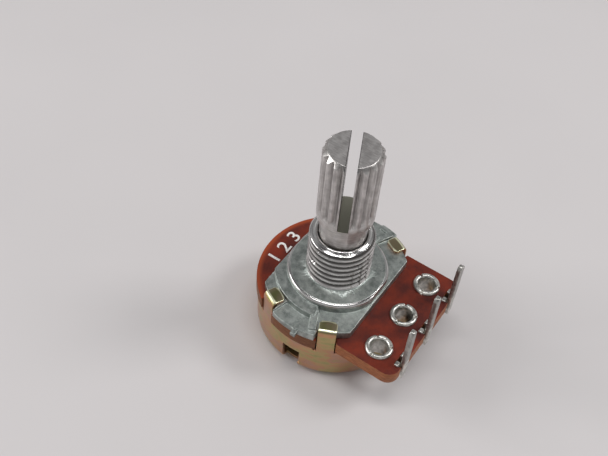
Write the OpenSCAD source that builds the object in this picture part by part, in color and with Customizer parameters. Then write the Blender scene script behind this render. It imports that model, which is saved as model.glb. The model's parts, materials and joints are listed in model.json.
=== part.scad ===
// Rotary potentiometer with a split knurled shaft, a threaded bush and three board pins.
// Millimetres. The origin is on the shaft axis at the flat back of the cover.
// +Z runs along the shaft, and the terminals are towards -Y.

/* [Cover] */
// Outside diameter of the pressed cover
cover_d = 17.1; // [16.6:0.1:18]
// Height of the cover from its flat back to its rim
cover_h = 5.0; // [4.6:0.1:7]
// Thickness of the cover's sheet
cover_t = 0.4; // [0.3:0.05:0.5]
// Radius of the cover's outer bottom edge
cover_edge = 0.9; // [0.6:0.1:1.2]
// Width of each folded tab
tab_w = 1.9; // [1.4:0.1:2.4]
// Length of each tab over the plate, in from the cover's outside
tab_lap = 1.63; // [1.2:0.01:1.8]
// Angle of each tab away from the X axis
tab_angle = 26; // [24:1:28]
// Depth of the cover's opening for the terminals, down from the rim
mouth_depth = 1.8; // [1.2:0.1:2.2]
// How far that opening reaches past the middle of the outer terminals
mouth_side = 0.9; // [0.7:0.05:1.1]
// Width of the window that the stop is pressed out of, open down to the cover's flat back
window_w = 1.9; // [1.4:0.1:2.4]
// Height of the stop, up to the window's upper edge
window_h = 2.1; // [1.4:0.1:2.2]
// Height of the stop's lower edge
window_z = 0.9; // [0.8:0.1:1.2]
// How far the stop reaches into the cover
stop_reach = 1.75; // [1.4:0.05:1.9]

/* [Terminal board] */
// How far the board's round part stands out past the cover
board_lip = 0.2; // [0.1:0.05:0.4]
// Thickness of the board
board_t = 1.6; // [1.2:0.1:2]
// Distance from the middle of the outer terminals to the board's straight sides
board_side = 2.35; // [2.1:0.05:2.6]
// Distance from the row of eyelets to the board's straight end
board_tail = 3.08; // [2.9:0.02:3.6]
// Corner radius at the straight end
board_corner = 1.3; // [0.8:0.1:1.5]
// Clearance round the spindle in the board's hole
board_gap = 0.7; // [0.4:0.1:0.9]
// Thickness of the printed films under the board
film_t = 0.1; // [0.05:0.01:0.12]
// Mean radius of the resistance track
track_r = 5.7; // [5.4:0.1:5.8]
// Width of the resistance track
track_w = 1.4; // [1:0.1:1.6]
// Mean radius of the collector ring
collector_r = 3.7; // [3.6:0.05:3.9]
// Width of the collector ring
collector_w = 1.0; // [0.8:0.1:1.2]

/* [Terminals] */
// Distance between neighbouring terminals
pitch = 5.0; // [4.6:0.1:5.2]
// How far the row of eyelets stands inside the cover's outside
eyelet_inset = 0.01; // [0:0.01:0.2]
// Thickness of the terminals' sheet
pin_t = 0.5; // [0.4:0.05:0.6]
// Width of each board pin
pin_w = 0.95; // [0.7:0.05:1.1]
// Height of the pins' tips above the board
pin_h = 5.8; // [3:0.1:8]
// How far the middle of each pin stands inside the board's end
pin_inset = 0.02; // [0:0.01:0.1]
// Margin of the terminal's round end outside the eyelet's flange
blade_margin = 0.2; // [0.1:0.05:0.4]
// Width of the strip from that round end to the pin
blade_w = 1.9; // [1.6:0.1:2.2]
// Outside diameter of each eyelet's tube
eyelet_d = 2.3; // [2:0.1:2.4]
// Wall of each eyelet's tube
eyelet_wall = 0.22; // [0.15:0.01:0.3]
// Width of the eyelet's flange and rolled rim outside its tube
eyelet_lip = 0.35; // [0.25:0.05:0.45]

/* [Plate and bush] */
// Play between the plate's corners and the tabs
plate_play = 0.15; // [0.1:0.01:0.2]
// Distance between the plate's two long straight edges
plate_w = 10.9; // [10:0.1:11.4]
// Thickness of the plate
plate_t = 1.0; // [0.8:0.1:1.4]
// How far the two side ears stand out past the cover
ear_lip = 0.25; // [0:0.05:0.4]
// Width of the two side ears
ear_w = 5.2; // [4.6:0.1:5.4]
// Diameter of the raised mounting disc
disc_d = 11.0; // [10.4:0.1:11.4]
// Height of the mounting disc above the plate
disc_h = 1.1; // [0.8:0.1:1.6]
// Height of the low step round the disc
band_h = 0.5; // [0.3:0.05:0.7]
// Width of the two ribs beside the tabs
rib_w = 0.82; // [0.6:0.02:0.9]
// Gap between each rib and the tab beside it
rib_gap = 0.25; // [0.15:0.05:0.35]
// Depth of the two pockets in the ears
pocket_depth = 0.25; // [0.15:0.05:0.4]
// Width of the rim outside each pocket
pocket_rim = 0.7; // [0.4:0.1:0.9]
// Width of the chamfer round the mouth of the bush's bore
mouth_chamfer = 0.25; // [0.1:0.05:0.4]
// Outside diameter of the bush over its thread
bush_d = 7.0; // [6.6:0.05:7.5]
// Length of the bush above the mounting disc
bush_len = 5.8; // [4:0.1:8]
// Chamfer at the bush's free end
bush_chamfer = 0.3; // [0.2:0.05:0.4]
// Pitch of the bush's thread, whose grooves are plain rings
thread_pitch = 0.75; // [0.5:0.05:1]
// Least length of plain bush under the thread
thread_foot = 0.2; // [0.2:0.1:1]

/* [Shaft] */
// Diameter of the shaft that takes the knob
shaft_d = 6.0; // [5.8:0.05:6.35]
// Length from the mounting disc to the shaft's tip
shaft_len = 17.5; // [16.5:0.5:25]
// Diameter of the neck inside the bush
neck_d = 5.0; // [4.8:0.05:5.1]
// Diameter of the spindle below the neck
spindle_d = 4.2; // [4:0.05:4.3]
// Length of neck that shows above the bush
neck_gap = 2.6; // [1.2:0.1:2.8]
// Length of the knurled part
knurl_len = 8.2; // [6:0.1:8.6]
// Number of grooves in the knurl
knurl_count = 18; // [16:1:20]
// Depth of the knurl's grooves
knurl_depth = 0.36; // [0.2:0.02:0.42]
// Angle between each groove's wall and its middle
knurl_flank = 48; // [40:1:50]
// Width of the slot across the shaft
slot_w = 1.1; // [0.8:0.05:1.3]
// Depth of the slot from the shaft's tip
slot_depth = 9.2; // [6:0.1:9.4]
// Angle of the slot away from the X axis
slot_angle = 26; // [0:1:60]
// Chamfer round the shaft's tip
tip_chamfer = 0.5; // [0.3:0.05:0.6]

/* [Rotor and wiper] */
// Clearance between the rotor's disc and the stop
rotor_gap = 0.3; // [0.2:0.05:0.6]
// Thickness of the rotor's disc
rotor_t = 2.0; // [1.6:0.1:2.1]
// Wall of the rotor's hub round the spindle
hub_wall = 0.5; // [0.4:0.05:0.6]
// Clearance between the rotor's stop lug and the cover
lug_gap = 0.4; // [0.25:0.05:0.6]
// Electrical and mechanical travel of the shaft
travel = 300; // [270:5:310]
// Angle of the wiper's contacts at mid travel
wiper_angle = 90; // [70:5:110]
// Thickness of the wiper's sheet
wiper_t = 0.15; // [0.1:0.01:0.18]
// Width of each wiper finger
finger_w = 0.7; // [0.5:0.05:0.9]
// Thickness of the ring that holds the shaft in the plate
ring_t = 0.5; // [0.4:0.05:0.6]
// Width of that ring outside the spindle
ring_lip = 1.1; // [0.8:0.05:1.3]

/* [Clearances] */
// Running clearance on the radius between shaft and bush
run_gap = 0.05; // [0.02:0.01:0.1]
// Clearance between parts that are fixed together
fixed_gap = 0.03; // [0.02:0.01:0.06]
// Clearance between a wiper contact and its film
contact_gap = 0.04; // [0.03:0.01:0.1]
// Clearance round each tab where it passes the board and the plate
tab_gap = 0.12; // [0.05:0.01:0.15]

/* [Hidden] */
$fn = 96;
over = 1; // overshoot of the cutting shapes

// Sizes that follow from the cover and the spindle
cover_r = cover_d / 2;
cover_in = cover_r - cover_t;
plate_d = 2 * (cover_in - plate_play);
ear_d = cover_d + 2 * ear_lip;
board_d = cover_d + 2 * board_lip;
eyelet_reach = cover_r - eyelet_inset;
board_reach = eyelet_reach + board_tail;
board_hole_d = spindle_d + 2 * board_gap;
tab_tip = cover_r - tab_lap;
band_d = 2 * (tab_tip - tab_gap);
hub_d = spindle_d + 2 * hub_wall;
ring_d = spindle_d + 2 * ring_lip;

// Heights of the stacked pieces
board_z = cover_h;
plate_z = board_z + board_t;
plate_top = plate_z + plate_t;
disc_top = plate_top + disc_h;
bush_top = disc_top + bush_len;
shaft_top = disc_top + shaft_len;
shoulder_z = bush_top + neck_gap;
knurl_z = shaft_top - knurl_len;

// The shaft's stepped bearing, and the ring that holds it
step_rise = 0.3;
step_z = disc_top + step_rise;
neck_bore_r = neck_d / 2 + run_gap;
ring_z = plate_z + 3 * run_gap;
ring_play = 0.4;
ring_room_d = ring_d + 2 * ring_play;
ring_room_top = ring_z + ring_t + run_gap;
groove_play = 0.03;
groove_depth = 0.5;
groove_r = spindle_d / 2 - groove_depth;
ring_mouth = 2.6;

// The spindle's foot: two flats that turn the rotor and a head peened over below it
foot_gap = 0.6;
flat_depth = 0.5;
tang_top = board_z - foot_gap;
tang_w = spindle_d - 2 * flat_depth;
rotor_lift = 0.5;
rotor_z = window_z + rotor_lift;
rotor_top = rotor_z + rotor_t;
hub_foot = 0.2;
hub_z = rotor_z - hub_foot;
tang_proud = 0.2;
hub_top = tang_top - tang_proud;
head_t = 0.35;
head_lip = 0.2;

// Films and terminals under the board
film_z = board_z - film_t;
blade_z = film_z - pin_t;
eyelet_foot_t = 0.2;
eyelet_rim_h = 0.34;
eyelet_edge = 0.04;
eyelet_rim_d = eyelet_d + 2 * eyelet_lip;
blade_d = eyelet_rim_d + 2 * blade_margin;
hole_d = eyelet_d + 2 * fixed_gap;
track_end = 90 - travel / 2;
lead_w = 1.2;

// The board's straight end, its notches, and the wings that clinch each terminal there
board_w = 2 * (pitch + board_side);
mouth_w = 2 * (pitch + mouth_side);
pin_reach = board_reach - pin_inset;
notch_side = 0.225;
notch_w = pin_w + 2 * notch_side;
notch_depth = 0.82;
notch_reach = board_reach - notch_depth;
wing_t = 0.3;
wing_len = 0.45;
wing_reach = 0.95;
wing_gap = 0.05;

// The stop in the cover, and the rotor's lug that meets it
stop_angle = 180 + asin((window_w + cover_t) / cover_d);
stop_tip = cover_in - stop_reach;
stop_half = asin(cover_t / 2 / stop_tip);
lug_play = 0.4;
lug_d = 2 * (cover_in - lug_gap);
rotor_d = 2 * (stop_tip - rotor_gap);
lug_half = 180 - travel / 2 - stop_half - lug_play;

// Folded tabs, and the slits in the rim beside each of them
bend_r = 0.6;
tab_z = plate_top + fixed_gap;
slit_w = 0.35;
slit_h = 0.5;

// Outline of the casting
root = 0.3; // depth to which the plate's raised forms run into it
ear_angle = asin(ear_w / ear_d);
ledge_w = 0.2;
disc_chord = plate_w / 2 - ledge_w;
rib_offset = tab_w / 2 + rib_gap + rib_w / 2;
rib_angle = tab_angle - asin(rib_offset / (band_d / 2));
rib_h = band_h * 0.7;
rim_angle = 3.5;
thread_depth = 0.6 * thread_pitch;
thread_flat = 0.1;
thread_flank = 30;

// Posts that hold the wiper on the rotor, and the shape of its fingers
post_r = 0.45;
post_head_r = 0.75;
post_head_h = 0.25;
wiper_z = rotor_top + fixed_gap;
wiper_gap = 0.15;
wiper_in = hub_d / 2 + wiper_gap;
wiper_land = 0.8;
post_ring = wiper_in + wiper_land;
wiper_out = post_ring + wiper_land;
fork_w = 1;
finger_root = 2.3;
finger_run = 0.55;
finger_drop = 0.3;
contact_r = 0.2;
contact_z = film_z - contact_gap - contact_r;

// One sector of a ring between two angles
module sector(inner_r, outer_r, from_a, to_a, z, h) {
    steps = 12;
    translate([0, 0, z]) linear_extrude(h) intersection() {
        difference() {
            circle(r = outer_r);
            circle(r = inner_r);
        }
        polygon(concat([[0, 0]], [for (i = [0:steps])
            let (a = from_a + (to_a - from_a) * i / steps) 2 * outer_r * [cos(a), sin(a)]]));
    }
}

module at_tabs() {
    for (a = [tab_angle, 180 - tab_angle, 180 + tab_angle, -tab_angle]) rotate([0, 0, a]) children();
}

module at_pins(index) {
    translate([(index - 2) * pitch, 0, 0]) children();
}

// Shaft: one turned piece with a peened foot, cut by the knurl, the slot and two flats
module shaft_outline() {
    shaft_r = shaft_d / 2;
    spindle_r = spindle_d / 2;
    edge = 0.12;
    groove_z = ring_z - groove_play;
    groove_top = ring_z + ring_t + groove_play;
    polygon([
        [0, hub_z - head_t], [spindle_r + head_lip - edge, hub_z - head_t],
        [spindle_r + head_lip, hub_z - head_t + edge], [spindle_r + head_lip, hub_z], [spindle_r, hub_z],
        [spindle_r, groove_z], [groove_r, groove_z], [groove_r, groove_top], [spindle_r, groove_top],
        [spindle_r, step_z + fixed_gap], [neck_d / 2, step_z + fixed_gap], [neck_d / 2, shoulder_z],
        [shaft_r - edge, shoulder_z], [shaft_r, shoulder_z + edge],
        [shaft_r, shaft_top - tip_chamfer], [shaft_r - tip_chamfer, shaft_top], [0, shaft_top]
    ]);
}

// V grooves whose floor rises to the surface at the knurl's foot, over twice their depth
module knurl_grooves() {
    shaft_r = shaft_d / 2;
    root_r = shaft_r - knurl_depth;
    cut = knurl_depth + 0.1;
    difference() {
        for (i = [0:knurl_count - 1]) rotate([0, 0, slot_angle + i * 360 / knurl_count])
            translate([0, 0, knurl_z - over]) linear_extrude(knurl_len + 2 * over)
                polygon([[root_r, 0], [root_r + cut, cut * tan(knurl_flank)],
                    [root_r + cut, -cut * tan(knurl_flank)]]);
        translate([0, 0, knurl_z - 2 * over])
            cylinder(r1 = shaft_r + over, r2 = root_r - knurl_depth, h = 2 * over + 4 * knurl_depth);
    }
}

module tang_flats() {
    for (side = [-1, 1]) translate([-spindle_d, side * (tang_w + spindle_d) / 2 - spindle_d / 2, hub_z])
        cube([2 * spindle_d, spindle_d, tang_top - hub_z]);
}

module shaft() {
    color([0.62, 0.6, 0.58]) difference() {
        rotate_extrude() shaft_outline();
        knurl_grooves();
        rotate([0, 0, slot_angle]) translate([-shaft_d, -slot_w / 2, shaft_top - slot_depth])
            cube([2 * shaft_d, slot_w, slot_depth + over]);
        tang_flats();
    }
}

module retaining_ring() {
    color([0.45, 0.45, 0.47]) difference() {
        translate([0, 0, ring_z]) cylinder(d = ring_d, h = ring_t);
        translate([0, 0, ring_z - over]) cylinder(r = groove_r + fixed_gap, h = ring_t + 2 * over);
        translate([0, -ring_mouth / 2, ring_z - over]) cube([ring_d, ring_mouth, ring_t + 2 * over]);
    }
}

// Plate: cast in one piece with the disc and the bush
module plate_outline() {
    intersection() {
        circle(d = plate_d);
        square([plate_d + over, plate_w], center = true);
    }
    intersection() {
        circle(d = ear_d);
        square([ear_d + over, ear_w], center = true);
    }
}

// The step keeps to the plate's far side and ends at the two ribs
module band() {
    intersection() {
        sector(disc_d / 2 - root, band_d / 2, -rib_angle, 180 + rib_angle, plate_top - root, root + band_h);
        translate([-band_d, -band_d, 0]) cube([2 * band_d, band_d + plate_w / 2, disc_top]);
    }
}

module ribs() {
    rib_start = disc_d / 2 - root;
    intersection() {
        for (side = [0, 1]) mirror([side, 0, 0]) rotate([0, 0, -tab_angle])
            translate([rib_start, rib_offset - rib_w / 2, plate_top - root])
                cube([ear_d / 2 - pocket_rim - rib_start, rib_w, root + rib_h]);
        translate([0, 0, plate_z]) cylinder(d = ear_d, h = plate_t + disc_h);
    }
}

// Each pocket lies in an ear, between the step and a rim that ends beside the rib
module pockets() {
    for (side = [0, 1]) mirror([side, 0, 0]) {
        sector(band_d / 2, ear_d / 2 - pocket_rim, -rib_angle, ear_angle, plate_top - pocket_depth,
            pocket_depth + over);
        sector(band_d / 2, ear_d / 2 + over, -rim_angle, ear_angle, plate_top - pocket_depth,
            pocket_depth + over);
    }
}

module nib() {
    nib_w = 0.6;
    translate([-ear_d / 2 - nib_w, -nib_w * 1.5, plate_z + plate_t / 4])
        cube([2 * nib_w, nib_w, plate_t / 2]);
}

module disc() {
    intersection() {
        translate([0, 0, plate_z]) cylinder(d = disc_d, h = disc_top - plate_z);
        translate([-disc_d, -disc_chord, plate_z]) cube([2 * disc_d, 2 * disc_chord, disc_top - plate_z]);
    }
}

// The bush's section, with the thread's grooves from below its chamfer down to its plain foot
module bush_outline() {
    r = bush_d / 2;
    thread_top = bush_top - bush_chamfer;
    count = floor((thread_top - disc_top - thread_foot) / thread_pitch);
    half = thread_flat / 2 + thread_depth * tan(thread_flank);
    polygon(concat([[0, plate_z], [r, plate_z]],
        [for (i = [count - 1:-1:0], p = [[0, -half], [thread_depth, -thread_flat / 2],
            [thread_depth, thread_flat / 2], [0, half]])
            [r - p[0], thread_top - (i + 0.5) * thread_pitch + p[1]]],
        [[r, thread_top], [r - bush_chamfer, bush_top], [0, bush_top]]));
}

module bore() {
    translate([0, 0, step_z]) cylinder(r = neck_bore_r, h = bush_top);
    translate([0, 0, plate_z - over]) cylinder(r = spindle_d / 2 + run_gap, h = bush_top);
    translate([0, 0, plate_z - over]) cylinder(d = ring_room_d, h = ring_room_top - plate_z + over);
    translate([0, 0, bush_top - mouth_chamfer])
        cylinder(r1 = neck_bore_r, r2 = neck_bore_r + 2 * mouth_chamfer, h = 2 * mouth_chamfer);
}

module bushing_plate() {
    color([0.6, 0.62, 0.61]) difference() {
        union() {
            difference() {
                translate([0, 0, plate_z]) linear_extrude(plate_t) plate_outline();
                pockets();
            }
            nib();
            band();
            ribs();
            disc();
            rotate_extrude() bush_outline();
        }
        bore();
    }
}

// Cover: a pressed cup with four tabs folded over the plate and one stop pushed inwards
module cover_outline(shrink) {
    r = cover_r - shrink;
    edge = cover_edge - shrink;
    polygon(concat([[0, shrink]],
        [for (a = [-90:15:0]) [r - edge + edge * cos(a), shrink + edge + edge * sin(a)]],
        [[r, cover_h + shrink * over], [0, cover_h + shrink * over]]));
}

// A tab's section, up past the board's edge and the plate's, then inwards over the plate
module tab_outline() {
    top = tab_z + cover_t;
    inner = bend_r - cover_t;
    turn = [cover_r - bend_r, top - bend_r];
    polygon(concat([[cover_in, cover_h - slit_h], [cover_r, cover_h - slit_h]],
        [for (a = [0:15:90]) turn + bend_r * [cos(a), sin(a)]], [[tab_tip, top], [tab_tip, tab_z]],
        [for (a = [90:-15:0]) turn + inner * [cos(a), sin(a)]]));
}

module folded_tab() {
    intersection() {
        rotate([90, 0, 0]) translate([0, 0, -tab_w / 2]) linear_extrude(tab_w) tab_outline();
        cylinder(r = cover_r, h = tab_z + cover_t + over);
    }
}

module stop() {
    rotate([0, 0, stop_angle]) translate([stop_tip, -cover_t / 2, window_z])
        cube([cover_r - cover_t / 2 - stop_tip, cover_t, window_h]);
}

module cover() {
    color([0.72, 0.62, 0.42]) union() {
        difference() {
            rotate_extrude() difference() {
                cover_outline(0);
                cover_outline(cover_t);
            }
            translate([-mouth_w / 2, -cover_d, cover_h - mouth_depth])
                cube([mouth_w, cover_d, mouth_depth + over]);
            translate([-cover_d, -window_w / 2, -over])
                cube([cover_r + cover_edge, window_w, over + window_z + window_h]);
            at_tabs() for (side = [-1, 1])
                translate([cover_in - over, side * (tab_w + slit_w) / 2 - slit_w / 2, cover_h - slit_h])
                    cube([2 * over, slit_w, slit_h + over]);
        }
        stop();
        at_tabs() folded_tab();
    }
}

// Board: phenolic sheet, round with a straight end that carries the terminals
module board_shape() {
    inset = board_w / 2 - board_corner;
    circle(d = board_d);
    translate([-board_w / 2, -board_reach + board_corner]) square([board_w, board_reach - board_corner]);
    translate([-inset, -board_reach]) square([2 * inset, board_corner]);
    for (side = [-1, 1]) translate([side * inset, -board_reach + board_corner]) circle(r = board_corner);
}

module terminal_board() {
    color([0.5, 0.14, 0.08]) difference() {
        translate([0, 0, board_z]) linear_extrude(board_t) board_shape();
        translate([0, 0, board_z - over]) cylinder(d = board_hole_d, h = board_t + 2 * over);
        at_tabs() translate([cover_in - tab_gap, -tab_w / 2 - tab_gap, board_z - over])
            cube([board_d, tab_w + 2 * tab_gap, board_t + 2 * over]);
        for (i = [1:3]) at_pins(i) {
            translate([0, -eyelet_reach, board_z - over]) cylinder(d = hole_d, h = board_t + 2 * over);
            translate([-notch_w / 2, -board_reach - over, board_z - over])
                cube([notch_w, board_reach + over - notch_reach, board_t + 2 * over]);
        }
    }
}

module resistance_track() {
    color([0.1, 0.1, 0.1]) sector(track_r - track_w / 2, track_r + track_w / 2, track_end, 180 - track_end,
        film_z, film_t);
}

// A silver film from the near end of the track to the first eyelet
module track_end_film() {
    pad_r = blade_d / 2;
    ends = [track_r - track_w / 2, track_r + track_w / 2];
    color([0.75, 0.74, 0.7]) difference() {
        translate([0, 0, film_z]) linear_extrude(film_t) {
            polygon([for (r = ends) r * [-cos(track_end), sin(track_end)],
                [-pitch - pad_r / 2, pad_r / 2 - eyelet_reach], [-pitch + pad_r * 0.6, -eyelet_reach]]);
            translate([-pitch, -eyelet_reach]) circle(r = pad_r);
        }
        translate([-pitch, -eyelet_reach, film_z - over]) cylinder(d = hole_d, h = film_t + 2 * over);
    }
}

module track_end_1() { track_end_film(); }

module track_end_3() { mirror([1, 0, 0]) track_end_film(); }

module collector_ring() {
    color([0.75, 0.74, 0.7]) difference() {
        translate([0, 0, film_z]) linear_extrude(film_t) {
            circle(r = collector_r + collector_w / 2);
            translate([-lead_w / 2, -eyelet_reach]) square([lead_w, eyelet_reach]);
            translate([0, -eyelet_reach]) circle(d = blade_d);
        }
        translate([0, 0, film_z - over]) cylinder(r = collector_r - collector_w / 2, h = film_t + 2 * over);
        translate([0, -eyelet_reach, film_z - over]) cylinder(d = hole_d, h = film_t + 2 * over);
    }
}

// Terminal: a strip under the board, two wings clinched over its edge and a pin bent up through the notch
module pin_outline() {
    tip = pin_w / 3;
    top = plate_z + pin_h;
    half = [[pin_w / 2, blade_z], [pin_w / 2, top - tip * 1.6], [pin_w / 2 - tip * 0.3, top - tip / 2],
        [pin_w / 2 - tip, top]];
    polygon(concat(half, [for (i = [3:-1:0]) [-half[i][0], half[i][1]]]));
}

module wings() {
    wing_x = notch_w / 2 - wing_gap - wing_t;
    for (side = [0, 1]) mirror([side, 0, 0]) translate([wing_x, -notch_reach - wing_gap - wing_len, 0]) {
        translate([0, 0, blade_z]) cube([wing_t, wing_len, plate_z + wing_t - blade_z]);
        translate([0, 0, plate_z]) cube([wing_reach - wing_x, wing_len, wing_t]);
    }
}

module terminal(index) {
    strip_end = pin_reach - pin_t / 2;
    color([0.78, 0.78, 0.75]) at_pins(index) {
        difference() {
            translate([0, 0, blade_z]) linear_extrude(pin_t) {
                translate([0, -eyelet_reach]) circle(d = blade_d);
                translate([-blade_w / 2, -strip_end]) square([blade_w, strip_end - eyelet_reach]);
                translate([-pin_w / 2, -strip_end - pin_t]) square([pin_w, 2 * pin_t]);
            }
            translate([0, -eyelet_reach, blade_z - over]) cylinder(d = hole_d, h = pin_t + 2 * over);
        }
        translate([0, -strip_end, 0]) rotate([90, 0, 0]) linear_extrude(pin_t) pin_outline();
        wings();
    }
}

module terminal_1() { terminal(1); }

module terminal_2() { terminal(2); }

module terminal_3() { terminal(3); }

// Eyelet: a hollow rivet, flanged below the strip and rolled over on the board
module eyelet(index) {
    tube_r = eyelet_d / 2;
    bore_r = tube_r - eyelet_wall;
    rim_r = eyelet_rim_d / 2;
    foot_z = blade_z - eyelet_foot_t;
    curl = (rim_r - bore_r) / 2;
    crown = eyelet_rim_h - eyelet_edge;
    color([0.85, 0.85, 0.83]) at_pins(index) translate([0, -eyelet_reach, 0]) rotate_extrude()
        polygon(concat([[bore_r, foot_z], [rim_r, foot_z], [rim_r, blade_z], [tube_r, blade_z],
            [tube_r, plate_z], [rim_r, plate_z]],
            [for (a = [0:20:180]) [bore_r + curl + curl * cos(a), plate_z + eyelet_edge + crown * sin(a)]]));
}

module eyelet_1() { eyelet(1); }

module eyelet_2() { eyelet(2); }

module eyelet_3() { eyelet(3); }

// Rotor: moulded disc with a hub on the shaft's flats, a stop lug and two posts that hold the wiper
module at_posts() {
    for (a = [-90, 90]) rotate([0, 0, wiper_angle + a]) translate([post_ring, 0, 0]) children();
}

module posts() {
    head_z = wiper_z + wiper_t + fixed_gap;
    at_posts() {
        translate([0, 0, rotor_top - root]) cylinder(r = post_r, h = head_z - rotor_top + root);
        translate([0, 0, head_z]) cylinder(r1 = post_head_r, r2 = post_r, h = post_head_h);
    }
}

module rotor() {
    lug_mid = stop_angle - 180;
    color([0.88, 0.86, 0.8]) difference() {
        union() {
            translate([0, 0, rotor_z]) cylinder(d = rotor_d, h = rotor_t);
            translate([0, 0, hub_z]) cylinder(d = hub_d, h = hub_top - hub_z);
            sector(hub_d / 2, lug_d / 2, lug_mid - lug_half, lug_mid + lug_half, rotor_z,
                window_z + window_h - rotor_z);
            posts();
        }
        intersection() {
            translate([0, 0, -over]) cylinder(r = spindle_d / 2 + fixed_gap, h = hub_top + 2 * over);
            translate([-spindle_d, -tang_w / 2 - fixed_gap, -over])
                cube([2 * spindle_d, tang_w + 2 * fixed_gap, hub_top + 2 * over]);
        }
    }
}

// Wiper: a ring under the posts' heads with a fork of two sprung fingers
module finger(reach) {
    drop_z = contact_z - finger_drop;
    root_end = -finger_root - root;
    translate([0, reach + finger_w / 2, 0]) rotate([90, 0, 0]) linear_extrude(finger_w) {
        polygon([[root_end, wiper_z], [-finger_root, wiper_z], [-contact_r, contact_z - wiper_t],
            [0, contact_z - wiper_t], [finger_run, drop_z - wiper_t], [finger_run, drop_z], [0, contact_z],
            [-contact_r, contact_z], [-finger_root, wiper_z + wiper_t], [root_end, wiper_z + wiper_t]]);
        translate([0, contact_z]) circle(r = contact_r);
    }
}

module wiper_sheet() {
    fork_in = collector_r - finger_w / 2;
    fork_out = track_r + finger_w / 2;
    fork_back = finger_root + fork_w;
    circle(r = wiper_out);
    polygon([[root - wiper_out, 0], [-fork_back, fork_in], [-fork_back, fork_out],
        [-finger_root, fork_out], [-finger_root, 0]]);
}

module wiper_spring() {
    color([0.8, 0.74, 0.6]) rotate([0, 0, wiper_angle - 90]) {
        difference() {
            translate([0, 0, wiper_z]) linear_extrude(wiper_t) wiper_sheet();
            translate([0, 0, wiper_z - over]) cylinder(r = wiper_in, h = 2 * over + wiper_t);
            for (side = [-1, 1]) translate([side * post_ring, 0, wiper_z - over])
                cylinder(r = post_r + fixed_gap, h = 2 * over + wiper_t);
        }
        finger(track_r);
        finger(collector_r);
    }
}

shaft();
bushing_plate();
cover();
terminal_board();
resistance_track();
collector_ring();
track_end_1();
track_end_3();
terminal_1();
terminal_2();
terminal_3();
eyelet_1();
eyelet_2();
eyelet_3();
rotor();
wiper_spring();
retaining_ring();
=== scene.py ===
import json
import math

import bmesh
import bpy
from mathutils import Matrix, Vector


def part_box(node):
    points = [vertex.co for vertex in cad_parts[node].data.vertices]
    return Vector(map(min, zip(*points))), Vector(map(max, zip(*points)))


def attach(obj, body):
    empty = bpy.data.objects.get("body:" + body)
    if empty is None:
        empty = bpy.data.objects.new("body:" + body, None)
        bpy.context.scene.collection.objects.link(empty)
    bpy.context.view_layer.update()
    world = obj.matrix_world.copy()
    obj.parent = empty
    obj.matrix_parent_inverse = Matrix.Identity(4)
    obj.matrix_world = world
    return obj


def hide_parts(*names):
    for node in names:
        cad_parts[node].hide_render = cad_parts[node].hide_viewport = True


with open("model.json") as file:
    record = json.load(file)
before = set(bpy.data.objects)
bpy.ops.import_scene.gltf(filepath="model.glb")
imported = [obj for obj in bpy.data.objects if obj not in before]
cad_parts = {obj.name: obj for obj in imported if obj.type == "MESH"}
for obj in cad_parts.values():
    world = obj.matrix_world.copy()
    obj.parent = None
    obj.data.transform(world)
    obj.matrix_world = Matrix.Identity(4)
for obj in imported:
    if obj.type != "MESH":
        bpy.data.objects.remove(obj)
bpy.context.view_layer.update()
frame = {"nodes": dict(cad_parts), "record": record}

mm = 0.001
print("frame loaded:", len(frame["nodes"]), "nodes")


# The CAD's boxes in millimetres, which give the heights of the new pieces
def nodeBox(node):
    low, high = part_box(node)
    return Vector(low) / mm, Vector(high) / mm


boardLow, boardHigh = nodeBox("terminal_board")
shaftLow, shaftHigh = nodeBox("shaft")
bushTop = nodeBox("bushing_plate")[1].z
discRise = 2.1          # the plate's and the disc's thickness together
discTop = boardHigh.z + discRise


# Camera: where it stands round the object, in degrees and millimetres, as the photo shows it
view = {
    "azimuth": -59.22, "elevation": 49.71, "roll": 5.09, "distance": 93.14,
    "target": (1.09, 5.33, 10.0), "lens": 50.41, "sensor": 36.0, "clip": (0.005, 20),
}


def placeCamera():
    azimuth, elevation, roll = (math.radians(view[key]) for key in ("azimuth", "elevation", "roll"))
    back = Vector((math.sin(azimuth) * math.cos(elevation), -math.cos(azimuth) * math.cos(elevation),
                   math.sin(elevation)))
    level = Vector((math.cos(azimuth), math.sin(azimuth), 0))
    upright = back.cross(level)
    right = level * math.cos(roll) + upright * math.sin(roll)
    up = upright * math.cos(roll) - level * math.sin(roll)
    eye = (Vector(view["target"]) + back * view["distance"]) * mm
    bpy.ops.object.camera_add()
    camera = bpy.context.object
    camera.name = "camera"
    camera.data.lens = view["lens"]
    camera.data.sensor_width = view["sensor"]
    camera.data.clip_start, camera.data.clip_end = view["clip"]
    turned = Matrix((right, up, back)).transposed().to_4x4()
    camera.matrix_world = Matrix.Translation(eye) @ turned
    bpy.context.scene.camera = camera


placeCamera()


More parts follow.
